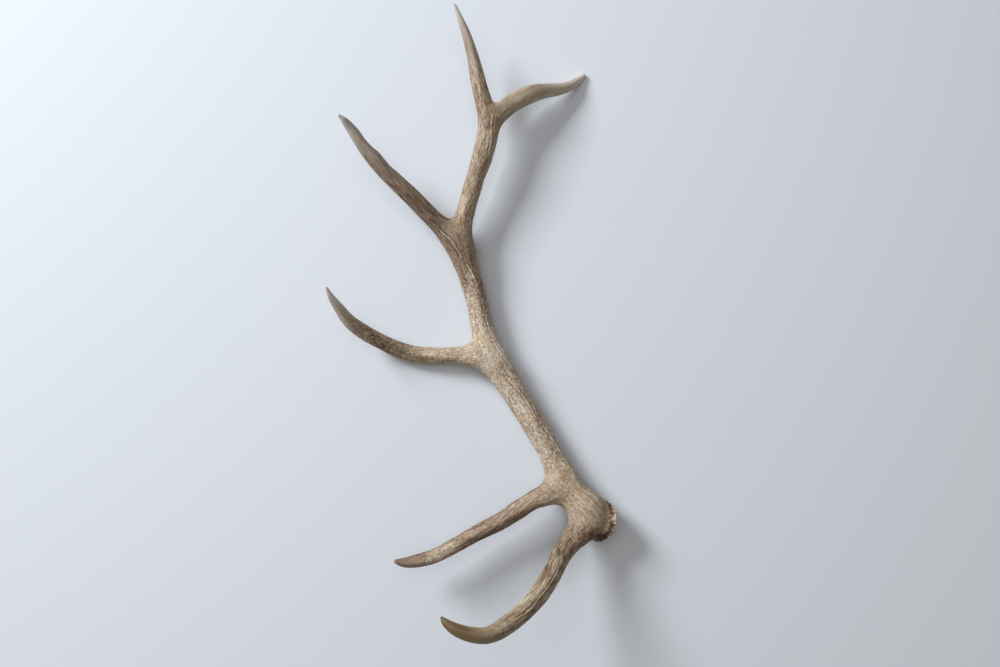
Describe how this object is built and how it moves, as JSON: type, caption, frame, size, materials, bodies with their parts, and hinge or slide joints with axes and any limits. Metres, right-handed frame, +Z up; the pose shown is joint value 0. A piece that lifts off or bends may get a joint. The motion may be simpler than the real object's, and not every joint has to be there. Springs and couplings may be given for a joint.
{
  "type": "deer antler",
  "caption": "Shed antler of a large deer, lying on its outer side: a grooved beam with tines, a forked end and a knobbly burr.",
  "frame": {"origin": "on the surface that the antler lies on, below the middle of its bounding box", "axes": "+Z up from the surface, +Y along the antler from the burr towards the tip of the beam, +X towards the burr's side and away from the tines"},
  "size_m": [0.4557, 0.9808, 0.2134],
  "materials": {
    "antler": "matt grooved antler bone, brown in the grooves and pale tan on the ridges, rubbed smooth at the tips",
    "burr": "rough pale bone knobs with dark gaps"
  },
  "bodies": {
    "root": {"burr": "burr", "brow_tine": "antler", "beam_base": "antler", "bez_tine": "antler", "lower_beam": "antler", "trez_tine": "antler", "middle_beam": "antler", "royal_tine": "antler", "upper_beam": "antler", "top_point": "antler", "rear_point": "antler"}
  },
  "joints": []
}
